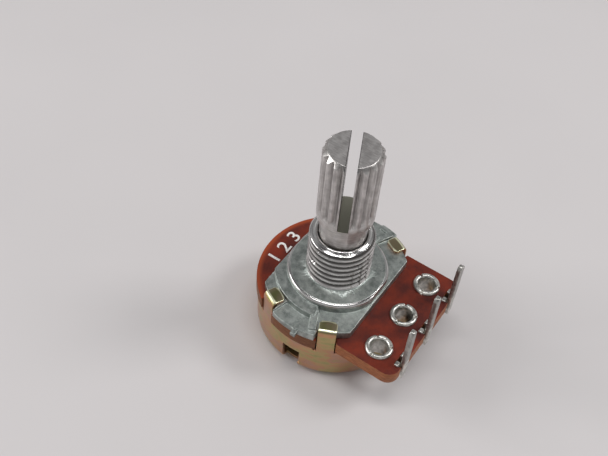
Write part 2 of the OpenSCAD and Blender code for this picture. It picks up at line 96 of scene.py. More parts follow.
# Shader maths: a wire is one output of a node, and sums of wires add their own nodes
class Wire:
    def __init__(self, tree, socket=None):
        self.tree = tree
        self.socket = socket

    def add(self, kind, settings=None, values=None, output=0):
        node = self.tree.nodes.new(kind)
        for key, value in (settings or {}).items():
            if key == "stops":
                ramp = node.color_ramp
                while len(ramp.elements) < len(value):
                    ramp.elements.new(0.5)
                for element, (place, colour) in zip(ramp.elements, value):
                    element.position = place
                    element.color = (*colour, 1)
            else:
                setattr(node, key, value)
        for key, value in (values or {}).items():
            if isinstance(value, Wire):
                self.tree.links.new(value.socket, node.inputs[key])
            else:
                node.inputs[key].default_value = value
        return Wire(self.tree, node.outputs[output])

    def math(self, operation, first, second=0.0):
        return self.add("ShaderNodeMath", {"operation": operation}, {0: first, 1: second})

    def __add__(self, other):
        return self.math("ADD", self, other)

    def __sub__(self, other):
        return self.math("SUBTRACT", self, other)

    def __rsub__(self, other):
        return self.math("SUBTRACT", other, self)

    def __mul__(self, other):
        return self.math("MULTIPLY", self, other)

    __radd__ = __add__
    __rmul__ = __mul__

    def smooth(self, low, high):
        # 0 at low and 1 at high, whichever of the two is the greater
        settings = {"interpolation_type": "SMOOTHSTEP"}
        return self.add("ShaderNodeMapRange", settings, {0: self, 1: low, 2: high})

    def over(self, span):
        # The same, with the two ends given together in millimetres
        return self.smooth(span[0] * mm, span[1] * mm)

    def mix(self, first, second):
        # first where this wire is 0, second where it is 1
        settings = {"data_type": "RGBA"}
        first, second = (v if isinstance(v, Wire) else (*v, 1) for v in (first, second))
        return self.add("ShaderNodeMix", settings, {0: self, 6: first, 7: second}, output=2)


def startMaterial(name):
    material = bpy.data.materials.new(name)
    material.use_nodes = True
    tree = material.node_tree
    tree.nodes.clear()
    start = Wire(tree)
    place = start.add("ShaderNodeTexCoord", output="Object")
    return material, start, place


def endMaterial(material, start, values, bumps=()):
    # bumps: pairs of a height wire and its depth in millimetres, laid over each other
    shader = start.add("ShaderNodeBsdfPrincipled", values=values)
    normal = None
    for height, depth in bumps:
        inputs = {"Strength": 1.0, "Distance": depth * mm, "Height": height}
        if normal:
            inputs["Normal"] = normal
        normal = start.add("ShaderNodeBump", values=inputs)
    if normal:
        start.tree.links.new(normal.socket, shader.socket.node.inputs["Normal"])
    end = start.tree.nodes.new("ShaderNodeOutputMaterial")
    start.tree.links.new(shader.socket, end.inputs["Surface"])
    return material


def noise(start, place, size, detail=3.0, roughness=0.5, stretch=(1, 1, 1)):
    # size: how large the pattern's features are, in millimetres
    scaled = start.add("ShaderNodeMapping", values={"Vector": place, "Scale": stretch})
    values = {"Vector": scaled, "Scale": 1 / (size * mm), "Detail": detail, "Roughness": roughness}
    return start.add("ShaderNodeTexNoise", values=values)


def split(start, vector):
    return [start.add("ShaderNodeSeparateXYZ", values={0: vector}, output=axis) for axis in range(3)]


def facing(start):
    # 1 on faces that look up or down, 0 on upright ones
    normal = start.add("ShaderNodeTexCoord", output="Normal")
    return start.math("ABSOLUTE", split(start, normal)[2])


def fromAxis(start, place):
    # How far a place lies from the shaft's axis
    level = start.add("ShaderNodeVectorMath", {"operation": "MULTIPLY"}, {0: place, 1: (1, 1, 0)})
    return start.add("ShaderNodeVectorMath", {"operation": "LENGTH"}, {0: level}, output=1)


# Turned light alloy: rings on the plain parts, upright marks on the knurl, painted shade in the knurl's
# grooves
alloy = {
    "dark": (0.41, 0.39, 0.38), "light": (0.66, 0.635, 0.62), "grooves": (0.14, 0.132, 0.125),
    "slotFloorShade": (0.43, 0.42, 0.34), "knurlStart": (17.9, 18.3), "grooveWall": (2.95, 2.68),
    "floorFoot": (16.9, 16.95), "floorHead": (17.1, 17.05), "roughness": 0.24,
}


def turnedAlloy():
    material, start, place = startMaterial("turnedAlloy")
    height = split(start, place)[2]
    top = facing(start).smooth(0.8, 0.95)
    knurled = height.over(alloy["knurlStart"])
    upright = noise(start, place, 0.12, stretch=(1, 1, 0.06))
    rings = noise(start, place, 0.05, detail=2, stretch=(0.02, 0.02, 1))
    patches = noise(start, place, 0.9, detail=4)
    streaks = noise(start, place, 0.1, stretch=(1, 0.12, 1))
    grain = knurled * upright + (1 - knurled) * rings
    grain = (1 - top) * grain + top * streaks
    tone = grain * 0.5 + patches * 0.5
    colour = tone.smooth(0.35, 0.65).mix(alloy["dark"], alloy["light"])
    # Painted shade: the knurl's grooves are darkened towards a dark grey
    grooveShade = knurled * fromAxis(start, place).over(alloy["grooveWall"]) * (1 - top)
    colour = (grooveShade * 0.5).mix(colour, alloy["grooves"])
    # Painted shade: the slot's floor is painted a darker olive
    slotFloorShade = height.over(alloy["floorHead"]) * height.over(alloy["floorFoot"]) * top
    colour = slotFloorShade.mix(colour, alloy["slotFloorShade"])
    rough = alloy["roughness"] + grain * 0.16 + top * 0.08
    values = {"Base Color": colour, "Metallic": 1.0, "Roughness": rough}
    return endMaterial(material, start, values, [(grain, 0.002), (patches, 0.02)])


# Cast zinc: cloudy as cast, bright and smooth where the bush is cut, with a painted highlight and lower
# roughness on the disc's rounded rim, and painted shade in the thread's grooves
zinc = {
    "castDark": (0.21, 0.235, 0.22), "castLight": (0.49, 0.52, 0.495),
    "cutDark": (0.38, 0.365, 0.36), "cutLight": (0.70, 0.69, 0.675), "threadShade": (0.085, 0.08, 0.077),
    "cutStart": (discTop + 0.1, discTop + 0.3), "rimHighlightInside": (5.1, 5.2), "rimHighlightOutside": (5.56, 5.51),
    "rimHighlightFoot": (discTop - 0.4, discTop - 0.3), "grooveOutside": (3.46, 3.3),
    "grooveInside": (2.96, 3.0), "grooveHead": (14.25, 14.1), "metallic": 0.95, "roughness": 0.34,
}


def castZinc():
    material, start, place = startMaterial("castZinc")
    height = split(start, place)[2]
    radius = fromAxis(start, place)
    clouds = noise(start, place, 1.6, detail=5, roughness=0.6)
    flow = noise(start, place, 0.5, detail=4, roughness=0.65)
    grain = noise(start, place, 0.1, detail=3, roughness=0.6)
    rings = noise(start, place, 0.06, detail=2, stretch=(0.03, 0.03, 1))
    tone = clouds * 0.45 + flow * 0.35 + grain * 0.2
    cast = tone.smooth(0.36, 0.64).mix(zinc["castDark"], zinc["castLight"])
    bush = height.over(zinc["cutStart"])
    # Painted highlight: the disc's rounded rim gets the bright cut colour, and lower roughness
    wearAndHighlight = radius.over(zinc["rimHighlightInside"]) * radius.over(zinc["rimHighlightOutside"])
    wearAndHighlight = wearAndHighlight * height.over(zinc["rimHighlightFoot"])
    cutAndRimHighlight = start.math("MAXIMUM", bush, wearAndHighlight)
    # Painted shade: the thread's grooves below the bush's top are darkened almost to black
    grooves = bush * radius.over(zinc["grooveOutside"]) * radius.over(zinc["grooveInside"])
    grooves = grooves * height.over(zinc["grooveHead"])
    bright = rings.smooth(0.35, 0.65).mix(zinc["cutDark"], zinc["cutLight"])
    colour = cutAndRimHighlight.mix(cast, grooves.mix(bright, zinc["threadShade"]))
    rough = zinc["roughness"] + flow * 0.16 - cutAndRimHighlight * 0.28
    values = {"Base Color": colour, "Metallic": zinc["metallic"], "Roughness": rough}
    raw = 1 - cutAndRimHighlight
    bumps = [(raw * grain, 0.01), (raw * flow, 0.02), (raw * clouds, 0.02), (rings, 0.0003)]
    return endMaterial(material, start, values, bumps)


# Yellow plating on steel: olive, beige and pink areas, olive tab tops and a painted highlight on the bends
plating = {
    "wall": [(0.34, (0.36, 0.34, 0.14)), (0.44, (0.49, 0.36, 0.17)), (0.51, (0.54, 0.29, 0.16)),
             (0.58, (0.50, 0.28, 0.20)), (0.70, (0.41, 0.33, 0.15))],
    "topDark": (0.17, 0.175, 0.07), "topLight": (0.25, 0.205, 0.125), "bend": (0.78, 0.78, 0.56),
    "tabStart": (6.8, 7.4), "metallic": 0.85, "roughness": 0.24,
}


def yellowPlating():
    material, start, place = startMaterial("yellowPlating")
    folded = split(start, place)[2].over(plating["tabStart"])
    tilt = facing(start)
    clouds = noise(start, place, 2.2, detail=3)
    bands = noise(start, place, 0.5, detail=2, stretch=(0.08, 0.08, 1))
    grain = noise(start, place, 0.08, detail=2, stretch=(0.1, 0.1, 1))
    shift = clouds * 0.7 + bands * 0.3
    wall = start.add("ShaderNodeValToRGB", {"stops": plating["wall"]}, {0: shift})
    top = clouds.smooth(0.4, 0.6).mix(plating["topDark"], plating["topLight"])
    colour = (tilt.smooth(0.4, 0.9) * folded).mix(wall, top)
    # Painted highlight: the faces of the tabs' bends are painted a bright yellow-white
    bend = tilt.smooth(0.78, 0.88) * tilt.smooth(0.998, 0.98) * folded
    colour = bend.mix(colour, plating["bend"])
    values = {"Base Color": colour, "Metallic": plating["metallic"],
              "Roughness": plating["roughness"] + grain * 0.14}
    return endMaterial(material, start, values, [(grain, 0.004), (clouds, 0.03)])


# Phenolic: a lacquered red-brown face, brighter near the round rim, and a sawn edge in layers, with painted
# shade on the edge under the plate
phenolic = {
    "faceDark": (0.075, 0.011, 0.007), "faceLight": (0.19, 0.022, 0.007), "rim": (0.30, 0.05, 0.014),
    "edgeDark": (0.20, 0.06, 0.02), "edgeLight": (0.40, 0.14, 0.05), "edgeShadeUnderPlate": (0.09, 0.035, 0.015),
    "roundPart": (-5, -3), "rimStart": (8.0, 8.6), "roughness": 0.5, "shine": 0.3,
}


def phenolicBoard():
    material, start, place = startMaterial("phenolicBoard")
    flat = facing(start).smooth(0.5, 0.9)
    clouds = noise(start, place, 2.4, detail=5, roughness=0.6)
    fibre = noise(start, place, 0.1, detail=4, roughness=0.7, stretch=(1, 0.35, 1))
    layers = noise(start, place, 0.09, detail=2, stretch=(0.15, 0.15, 1))
    tone = clouds * 0.75 + fibre * 0.25
    face = tone.smooth(0.35, 0.65).mix(phenolic["faceDark"], phenolic["faceLight"])
    rounded = split(start, place)[1].over(phenolic["roundPart"])
    rim = fromAxis(start, place).over(phenolic["rimStart"]) * rounded
    face = rim.mix(face, phenolic["rim"])
    edge = layers.smooth(0.3, 0.7).mix(phenolic["edgeDark"], phenolic["edgeLight"])
    # Painted shade: the sawn edge on the round part under the plate is darkened
    edge = (rounded * 0.6).mix(edge, phenolic["edgeShadeUnderPlate"])
    values = {"Base Color": flat.mix(edge, face),
              "Roughness": phenolic["roughness"] - flat * 0.1 + fibre * 0.12,
              "Specular IOR Level": phenolic["shine"]}
    return endMaterial(material, start, values, [(fibre, 0.006), ((1 - flat) * layers, 0.02)])


# Tin over brass, with a darker colour mixed in on the standing pins
tin = {
    "dark": (0.42, 0.42, 0.39), "light": (0.80, 0.785, 0.74), "pins": (0.16, 0.145, 0.135),
    "pinStart": (boardHigh.z + 0.6, boardHigh.z + 1.0), "roughness": 0.24,
}


def tinnedBrass():
    material, start, place = startMaterial("tinnedBrass")
    clouds = noise(start, place, 0.5, detail=4)
    grain = noise(start, place, 0.07, detail=3)
    colour = clouds.smooth(0.3, 0.7).mix(tin["dark"], tin["light"])
    standing = split(start, place)[2].over(tin["pinStart"])
    colour = (standing * 0.5).mix(colour, tin["pins"])
    values = {"Base Color": colour, "Metallic": 1.0, "Roughness": tin["roughness"] + clouds * 0.2}
    return endMaterial(material, start, values, [(grain, 0.0008), (clouds, 0.01)])


# White ink, a little worn
ink = {"wearAndHighlight": (0.62, 0.58, 0.55), "fresh": (0.82, 0.8, 0.78), "roughness": 0.45}


def whiteInk():
    material, start, place = startMaterial("whiteInk")
    wear = noise(start, place, 0.15, detail=3)
    colour = wear.smooth(0.35, 0.6).mix(ink["wearAndHighlight"], ink["fresh"])
    values = {"Base Color": colour, "Roughness": ink["roughness"]}
    return endMaterial(material, start, values, [(wear, 0.004)])


# The pieces inside: one pattern varies each one's colour, gloss and surface
insides = {
    "carbon_film": {"name": "carbonFilm", "dark": (0.012, 0.012, 0.012), "light": (0.03, 0.03, 0.03),
                    "metallic": 0, "roughness": 0.4, "size": 0.2, "depth": 0.004},
    "silver_film": {"name": "silverFilm", "dark": (0.5, 0.49, 0.46), "light": (0.72, 0.71, 0.67),
                    "metallic": 0.8, "roughness": 0.35, "size": 0.2, "depth": 0.004},
    "rotor_plastic": {"name": "mouldedAcetal", "dark": (0.66, 0.64, 0.57), "light": (0.8, 0.78, 0.72),
                      "metallic": 0, "roughness": 0.4, "size": 1.2, "depth": 0.01},
    "spring_bronze": {"name": "springBronze", "dark": (0.5, 0.36, 0.17), "light": (0.68, 0.5, 0.26),
                      "metallic": 1, "roughness": 0.2, "size": 0.4, "depth": 0.003},
    "ring_steel": {"name": "springSteel", "dark": (0.3, 0.3, 0.31), "light": (0.5, 0.5, 0.52),
                   "metallic": 1, "roughness": 0.25, "size": 0.3, "depth": 0.004},
}


def plainMaterial(look):
    material, start, place = startMaterial(look["name"])
    clouds = noise(start, place, look["size"], detail=4)
    values = {"Base Color": clouds.smooth(0.35, 0.65).mix(look["dark"], look["light"]),
              "Metallic": look["metallic"], "Roughness": look["roughness"] + clouds * 0.15}
    return endMaterial(material, start, values, [(clouds, look["depth"])])


finishes = {
    "shaft_metal": turnedAlloy(),
    "cast_zinc": castZinc(),
    "passivated_steel": yellowPlating(),
    "phenolic": phenolicBoard(),
    "tinned_brass": tinnedBrass(),
    "white_ink": whiteInk(),
}
for slot, look in insides.items():
    finishes[slot] = plainMaterial(look)
print("materials made:", len(finishes))


# Every piece of the frame gets its finish. Those inside stay as they are
slotOf = {part["node"]: part["material_slot"] for part in frame["record"]["subparts"]}
for node, piece in frame["nodes"].items():
    piece.data.materials.clear()
    piece.data.materials.append(finishes[slotOf[node]])


# Small hand tools
def activate(piece):
    bpy.ops.object.select_all(action="DESELECT")
    piece.select_set(True)
    bpy.context.view_layer.objects.active = piece


def startEdit(piece):
    activate(piece)
    bpy.ops.object.mode_set(mode="EDIT")
    bpy.ops.mesh.select_mode(type="VERT")


def endEdit():
    bpy.ops.object.mode_set(mode="OBJECT")


def choose(kind, test):
    # In edit mode: selects what passes the test, given as its middle in millimetres and its normal,
    # or the way it runs if it is an edge
    bpy.ops.mesh.select_mode(type=kind)
    bpy.ops.mesh.select_all(action="DESELECT")
    mesh = bmesh.from_edit_mesh(bpy.context.object.data)
    for part in {"VERT": mesh.verts, "EDGE": mesh.edges, "FACE": mesh.faces}[kind]:
        if kind == "VERT":
            place, normal = part.co, part.normal
        elif kind == "EDGE":
            place = (part.verts[0].co + part.verts[1].co) / 2
            normal = part.verts[1].co - part.verts[0].co
        else:
            place, normal = part.calc_center_median(), part.normal
        if test(place / mm, normal):
            part.select_set(True)
    bmesh.update_edit_mesh(bpy.context.object.data)


def deleteFaces(test):
    choose("FACE", lambda place, normal: test(place))
    bpy.ops.mesh.delete(type="FACE")


def move(x=0, y=0, z=0):
    bpy.ops.transform.translate(value=(x * mm, y * mm, z * mm))


def extrude(x=0, y=0, z=0):
    bpy.ops.mesh.extrude_region_move(TRANSFORM_OT_translate={"value": (x * mm, y * mm, z * mm)})


def widen(factor, centre):
    bpy.ops.transform.resize(value=(factor, factor, 1), center_override=Vector(centre) * mm)


def turn(name, columns, profile, centre=(0, 0)):
    # A circle at the profile's first radius and height, extruded and scaled from point to point
    radius, height = profile[0]
    bpy.ops.object.select_all(action="DESELECT")
    place = Vector((*centre, height)) * mm
    bpy.ops.mesh.primitive_circle_add(vertices=columns, radius=radius * mm, location=place)
    piece = bpy.context.object
    piece.name = name
    bpy.ops.object.transform_apply(location=True, rotation=False, scale=False)
    startEdit(piece)
    bpy.ops.mesh.select_all(action="SELECT")
    for nextRadius, nextHeight in profile[1:]:
        extrude(z=nextHeight - height)
        widen(nextRadius / radius, (*centre, nextHeight))
        radius, height = nextRadius, nextHeight
    endEdit()
    return piece


def closeEnds(piece):
    # Fills the open rings and turns the faces outwards
    startEdit(piece)
    bpy.ops.mesh.select_all(action="SELECT")
    bpy.ops.mesh.remove_doubles(threshold=0.001 * mm)
    bpy.ops.mesh.select_all(action="DESELECT")
    bpy.ops.mesh.select_non_manifold()
    bpy.ops.mesh.fill_holes(sides=0)
    bpy.ops.mesh.select_all(action="SELECT")
    bpy.ops.mesh.normals_make_consistent(inside=False)
    endEdit()


def turnAbout(piece, angle):
    # Turns a piece about the shaft's axis, with the turn in its mesh
    activate(piece)
    piece.rotation_euler = (0, 0, math.radians(angle))
    bpy.ops.object.transform_apply(location=False, rotation=True, scale=False)


def block(name, low, high):
    # A box between two corners
    bpy.ops.object.select_all(action="DESELECT")
    low, high = Vector(low), Vector(high)
    bpy.ops.mesh.primitive_cube_add(size=mm)
    piece = bpy.context.object
    piece.name = name
    piece.scale = high - low
    piece.location = (low + high) / 2 * mm
    bpy.ops.object.transform_apply(location=True, rotation=False, scale=True)
    return piece


def apply(piece, kind, **settings):
    activate(piece)
    modifier = piece.modifiers.new(kind.lower(), kind)
    for key, value in settings.items():
        setattr(modifier, key, value)
    bpy.ops.object.modifier_apply(modifier=modifier.name)


def cut(piece, tool, operation="DIFFERENCE"):
    apply(piece, "BOOLEAN", operation=operation, object=tool, solver="EXACT")
    bpy.data.objects.remove(tool)


def soften(piece, width, angle):
    # Rounds the edges whose faces meet at more than this angle
    apply(piece, "BEVEL", width=width * mm, segments=2, limit_method="ANGLE",
          angle_limit=math.radians(angle), use_clamp_overlap=False, miter_outer="MITER_ARC")


def smooth(piece, angle):
    activate(piece)
    bpy.ops.object.shade_smooth_by_angle(angle=math.radians(angle))
    apply(piece, "WEIGHTED_NORMAL", keep_sharp=True, weight=100)


def copyNode(node, name):
    # A CAD node's mesh as a new piece: joined up, and its flat faces made whole
    piece = bpy.data.objects.new(name, frame["nodes"][node].data.copy())
    bpy.context.scene.collection.objects.link(piece)
    startEdit(piece)
    bpy.ops.mesh.select_all(action="SELECT")
    bpy.ops.mesh.remove_doubles(threshold=0.002 * mm)
    bpy.ops.mesh.dissolve_limited(angle_limit=math.radians(0.5))
    endEdit()
    return piece


def fit(piece, node, body, slot):
    # The piece's finish, its body, its slot, and the node that it takes the place of
    piece.data.materials.clear()
    piece.data.materials.append(finishes[slot])
    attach(piece, body)
    if node:
        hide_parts(node)


# Shaft: a turned bar with V grooves that run out at the foot, a slot and a peened foot
knobShaft = {
    "columns": 216, "radius": 3.0, "grooves": 18, "grooveDepth": 0.36, "grooveHalf": 7.0,
    "runOut": 0.72, "runRows": 8, "knurlLength": 8.2, "chamfer": 0.5,
    "slotWidth": 1.1, "slotDepth": 9.2, "slotAngle": 26,
    "neckRadius": 2.5, "collarFoot": 17.1, "collarEdge": 0.12, "spindleRadius": 2.1, "stepHeight": 9.03,
    "clipLow": 6.72, "clipHigh": 7.28, "clipRadius": 1.6,
    "headRadius": 2.3, "headTop": 1.2, "headEdge": 0.12, "flatTop": 4.4, "flatReach": 1.6, "edge": 0.05,
}


def grooveRadii():
    # The radius at each column beside a groove's middle, across the groove's straight walls
    s = knobShaft
    half = math.radians(s["grooveHalf"])
    step = 360 / s["columns"]
    floor = s["radius"] - s["grooveDepth"]
    wall = Vector((s["radius"] * math.cos(half) - floor, s["radius"] * math.sin(half)))
    radii = []
    for column in range(int(s["grooveHalf"] / step) + 1):
        slope = math.tan(math.radians(column * step))
        along = floor * slope / (wall.y - wall.x * slope)
        radii.append((Vector((floor, 0)) + wall * along).length)
    return radii


def pressColumn(column, height, factor):
    # Draws in the points of one column beside every groove, at one height
    step = 360 / knobShaft["columns"]
    between = knobShaft["columns"] // knobShaft["grooves"]

    def inColumn(place, normal):
        if abs(place.z - height) > 0.001:
            return False
        turned = math.degrees(math.atan2(place.y, place.x)) / step
        offset = (turned + between / 2) % between - between / 2
        return abs(abs(offset) - column) < 0.3

    choose("VERT", inColumn)
    widen(factor, (0, 0, height))


def makeShaft():
    s = knobShaft
    radius = s["radius"]
    top = shaftHigh.z
    foot = shaftLow.z
    knurlFoot = top - s["knurlLength"]
    bevelFoot = top - s["chamfer"]
    radii = grooveRadii()
    runRows = [knurlFoot + s["runOut"] * row / s["runRows"] for row in range(s["runRows"] + 1)]
    bevelRows = [bevelFoot + radius - value for value in sorted(radii, reverse=True)]
    bevelRows = [height for height in bevelRows if bevelFoot < height < top]
    profile = [(s["headRadius"] - s["headEdge"], foot), (s["headRadius"], foot + s["headEdge"]),
               (s["headRadius"], s["headTop"]), (s["spindleRadius"], s["headTop"]),
               (s["spindleRadius"], s["clipLow"]), (s["clipRadius"], s["clipLow"]),
               (s["clipRadius"], s["clipHigh"]), (s["spindleRadius"], s["clipHigh"]),
               (s["spindleRadius"], s["stepHeight"]), (s["neckRadius"], s["stepHeight"]),
               (s["neckRadius"], s["collarFoot"]), (radius - s["collarEdge"], s["collarFoot"]),
               (radius, s["collarFoot"] + s["collarEdge"])]
    profile += [(radius, height) for height in runRows]
    profile += [(radius, bevelFoot)]
    profile += [(radius - (height - bevelFoot), height) for height in bevelRows]
    profile += [(radius - s["chamfer"], top)]
    piece = turn("knob_shaft", s["columns"], profile)
    startEdit(piece)
    for column, depth in enumerate(radii):
        for height in runRows[1:] + [bevelFoot] + bevelRows:
            rising = radius - (height - knurlFoot) * s["grooveDepth"] / s["runOut"]
            crown = radius - max(0, height - bevelFoot)
            target = min(max(depth, rising), crown)
            if target < crown:
                pressColumn(column, height, target / crown)
    endEdit()
    closeEnds(piece)
    reach = 2 * radius
    cut(piece, block("slotTool", (-reach, -s["slotWidth"] / 2, top - s["slotDepth"]),
                     (reach, s["slotWidth"] / 2, top + 1)))
    turnAbout(piece, s["slotAngle"])
    for side in (-1, 1):
        near, far = sorted((side * s["flatReach"], side * reach))
        cut(piece, block("flatTool", (-reach, near, s["headTop"]), (reach, far, s["flatTop"])))
    soften(piece, s["edge"], angle=28)
    smooth(piece, 30)
    fit(piece, "shaft", "spindle", "shaft_metal")
    print("shaft made:", len(piece.data.polygons), "faces")


makeShaft()


# Casting: the plate with its disc, and a bush with a cut thread
casting = {
    "pitch": 0.75, "threadDepth": 0.45, "rootFlat": 0.1, "flank": 30, "crest": 3.5, "threadFoot": 9.25,
    "threadOver": 0.6, "steps": 180, "columns": 180, "coreRadius": 2.98, "sleeveInner": 2.88,
    "sleeveFoot": 8.4, "rimInner": 2.62, "rimSlope": 20, "rimRound": 0.25, "rimStep": 14, "rimSink": 0.01,
    "discRadius": 5.5, "discRound": 0.28, "edge": 0.07, "over": 0.05,
}


def rimHeight(radius):
    # The bush's rim is a shallow cone
    return bushTop - (radius - casting["rimInner"]) * math.tan(math.radians(casting["rimSlope"]))


def makeThreadTool():
    # A V section swept up a helix, a little wider than the thread's groove at its crest
    c = casting
    floor = c["crest"] - c["threadDepth"]
    outer = c["crest"] + c["over"]
    half = c["rootFlat"] / 2 + (c["threadDepth"] + c["over"]) * math.tan(math.radians(c["flank"]))
    turns = math.ceil((bushTop + c["threadOver"] - c["threadFoot"]) / c["pitch"])
    bpy.ops.object.select_all(action="DESELECT")
    bpy.ops.mesh.primitive_plane_add(size=mm)
    tool = bpy.context.object
    tool.name = "threadTool"
    corners = [(floor, -c["rootFlat"] / 2), (outer, -half), (floor, c["rootFlat"] / 2), (outer, half)]
    for vertex, (radius, height) in zip(tool.data.vertices, corners):
        vertex.co = Vector((0, radius, c["threadFoot"] + height)) * mm
    apply(tool, "SCREW", axis="Z", angle=math.tau, screw_offset=c["pitch"] * mm, iterations=turns,
          steps=c["steps"], render_steps=c["steps"], use_merge_vertices=True, merge_threshold=0.001 * mm)
    closeEnds(tool)
    return tool


def makeSleeve():
    # The bush's outside, turned as a ring that sits in the disc, with its thread cut
    c = casting
    inner, crest, rounding = c["sleeveInner"], c["crest"], c["rimRound"]
    shoulder = rimHeight(crest - rounding)
    profile = [(inner, c["sleeveFoot"]), (crest, c["sleeveFoot"])]
    for angle in range(0, 91 - c["rimSlope"], c["rimStep"]):
        turned = math.radians(angle)
        radius = crest - rounding * (1 - math.cos(turned))
        profile.append((radius, shoulder - rounding * (1 - math.sin(turned))))
    profile += [(inner, rimHeight(inner) - c["rimSink"]), (inner, c["sleeveFoot"])]
    sleeve = turn("bushSleeve", c["columns"], profile)
    closeEnds(sleeve)
    cut(sleeve, makeThreadTool())
    return sleeve


def makeCasting():
    c = casting
    piece = copyNode("bushing_plate", "cast_plate")
    # The CAD's ring grooves come off down to the core, and the rim becomes the shallow cone
    core, rim, reach = c["coreRadius"], c["rimInner"], c["crest"] + 1
    profile = [(core, discTop), (reach, discTop), (reach, bushTop + 1), (rim, bushTop + 1),
               (rim, bushTop), (core, rimHeight(core)), (core, discTop)]
    ring = turn("ringTool", c["columns"], profile)
    closeEnds(ring)
    cut(piece, ring)
    startEdit(piece)
    choose("EDGE", lambda place, normal: abs(place.z - discTop) < 0.01
           and abs(place.xy.length - c["discRadius"]) < 0.02)
    bpy.ops.mesh.bevel(offset=c["discRound"] * mm, segments=3, affect="EDGES")
    endEdit()
    soften(piece, c["edge"], angle=40)
    cut(piece, makeSleeve(), "UNION")
    smooth(piece, 35)
    fit(piece, "bushing_plate", "housing", "cast_zinc")
    print("casting made:", len(piece.data.polygons), "faces")


makeCasting()


# Cover: a pressed cup of sheet, slit at its rim, with four folded tabs and one stop pushed in
pressing = {
    "radius": 8.55, "foot": 0.9, "footRows": 6, "floorRing": 1.5, "sheet": 0.4, "columns": 720,
    "mouthMiddle": -90, "mouthAngle": 43.5, "mouthFloor": 3.2, "middleRow": 3.85,
    "windowMiddle": 180, "windowHalf": 6.5, "windowLow": 0.9, "windowHigh": 3.0,
    "tabAngles": (26, 154, 206, 334), "tabHalf": 6.5, "slitHalf": 9.0, "slitFoot": 4.5,
    "bend": 0.6, "bendSteps": 8, "tabTop": 8.03, "tabTip": 6.92, "tabCorner": 0.3, "tabNarrow": 0.72,
    "stopFoot": 189.5, "stopAngle": 187.73, "stopBend": 0.45, "stopSteps": 5, "stopTip": 6.4, "edge": 0.06,
}


def around(place, angle):
    # How many degrees a place lies round the shaft's axis from an angle
    return abs((math.degrees(math.atan2(place.y, place.x)) - angle + 180) % 360 - 180)


def outwardsAt(angle):
    turned = math.radians(angle)
    return Vector((math.cos(turned), math.sin(turned), 0))


def makeCup():
    c = pressing
    radius, foot = c["radius"], c["foot"]
    profile = [(radius - foot - c["floorRing"], 0)]
    for row in range(c["footRows"] + 1):
        angle = math.radians(90 * row / c["footRows"])
        profile.append((radius - foot + foot * math.sin(angle), foot - foot * math.cos(angle)))
    heights = [c["windowHigh"], c["mouthFloor"], c["middleRow"], c["slitFoot"], boardLow.z]
    profile += [(radius, height) for height in heights]
    piece = turn("cover_can", c["columns"], profile)
    startEdit(piece)
    inner = radius - foot - c["floorRing"] + 0.1
    choose("EDGE", lambda place, normal: place.z < 0.001 and place.xy.length < inner)
    bpy.ops.mesh.edge_face_add()
    bpy.ops.mesh.select_all(action="SELECT")
    bpy.ops.mesh.normals_make_consistent(inside=False)
    endEdit()
    return piece


def openCup():
    # The mouth for the terminals, the window with the place of its stop, and the slits beside the tabs
    c = pressing
    base = c["radius"] - c["foot"]
    deleteFaces(lambda place: place.z > c["mouthFloor"]
                and around(place, c["mouthMiddle"]) < c["mouthAngle"])
    deleteFaces(lambda place: place.z < c["windowHigh"] and place.xy.length > base
                and around(place, c["windowMiddle"]) < c["windowHalf"])
    windowSide = c["windowMiddle"] + c["windowHalf"]
    flap = (c["stopFoot"] - windowSide) / 2
    deleteFaces(lambda place: c["windowLow"] < place.z < c["windowHigh"]
                and around(place, windowSide + flap) < flap)
    deleteFaces(lambda place: place.z > c["slitFoot"]
                and c["tabHalf"] < min(around(place, angle) for angle in c["tabAngles"]) < c["slitHalf"])


def foldTab(angle):
    # Up past the board and the plate, then inwards over the plate, with its corners drawn in
    c = pressing
    outwards = outwardsAt(angle)
    aside = outwardsAt(angle + 90)
    choose("EDGE", lambda place, normal: place.z > boardLow.z - 0.001 and around(place, angle) < c["tabHalf"])
    bendFoot = c["tabTop"] - c["bend"]
    extrude(z=bendFoot - boardLow.z)
    centre = (outwards * (c["radius"] - c["bend"]) + Vector((0, 0, bendFoot))) * mm
    bpy.ops.mesh.spin(steps=c["bendSteps"], angle=math.radians(90), center=centre, axis=aside)
    extrude(*-(outwards * (c["radius"] - c["bend"] - c["tabTip"] - c["tabCorner"])))
    extrude(*-(outwards * c["tabCorner"]))
    tip = (outwards * c["tabTip"] + Vector((0, 0, c["tabTop"]))) * mm
    bpy.ops.transform.resize(value=(c["tabNarrow"], c["tabNarrow"], 1), center_override=tip)


def pushStop():
    # The wall beside the window is bent in, and stands across the cup as the rotor's stop
    c = pressing
    centre = outwardsAt(c["stopFoot"]) * (c["radius"] - c["stopBend"])
    choose("EDGE", lambda place, normal: c["windowLow"] < place.z < c["windowHigh"]
           and around(place, c["stopFoot"]) < 0.1 and abs(normal.z) > 0.5 * normal.length)
    turned = math.radians(90 + c["stopFoot"] - c["stopAngle"])
    bpy.ops.mesh.spin(steps=c["stopSteps"], angle=turned, center=centre * mm, axis=(0, 0, 1))
    outwards = outwardsAt(c["stopAngle"])
    extrude(*-(outwards * (centre.dot(outwards) - c["stopTip"])))


def makeCover():
    piece = makeCup()
    startEdit(piece)
    openCup()
    for angle in pressing["tabAngles"]:
        foldTab(angle)
    pushStop()
    endEdit()
    apply(piece, "SOLIDIFY", thickness=pressing["sheet"] * mm, offset=-1, use_even_offset=True)
    soften(piece, pressing["edge"], angle=50)
    smooth(piece, 35)
    fit(piece, "cover", "housing", "passivated_steel")
    print("cover made:", len(piece.data.polygons), "faces")


makeCover()


# Board: the CAD's outline with a punched, slightly broken edge
board = {"edge": 0.06}


